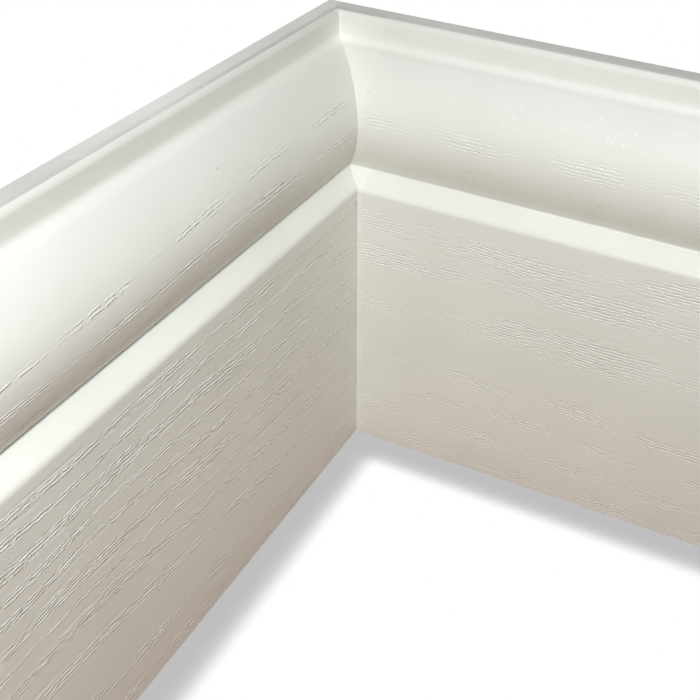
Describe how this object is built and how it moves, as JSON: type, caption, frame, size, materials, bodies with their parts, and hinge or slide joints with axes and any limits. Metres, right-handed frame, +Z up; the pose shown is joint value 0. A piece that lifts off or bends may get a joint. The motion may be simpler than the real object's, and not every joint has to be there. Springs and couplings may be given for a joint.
{
  "type": "skirting internal corner",
  "caption": "Internal corner of white torus skirting: a through board and a butting board with embossed woodgrain, closed by a smooth scribed corner trim.",
  "frame": {"origin": "the point on the floor where the two wall faces meet, at the back of the corner", "axes": "+Z up; the butting board runs along +X with its back on y = 0, the through board along -Y with its back on x = 0"},
  "size_m": [0.3, 0.3, 0.15],
  "materials": {
    "board_skin": "satin white with embossed woodgrain",
    "trim_plastic": "smooth satin white"
  },
  "bodies": {
    "root": {"left_board": "board_skin", "right_board": "board_skin", "corner_trim": "trim_plastic"}
  },
  "joints": []
}
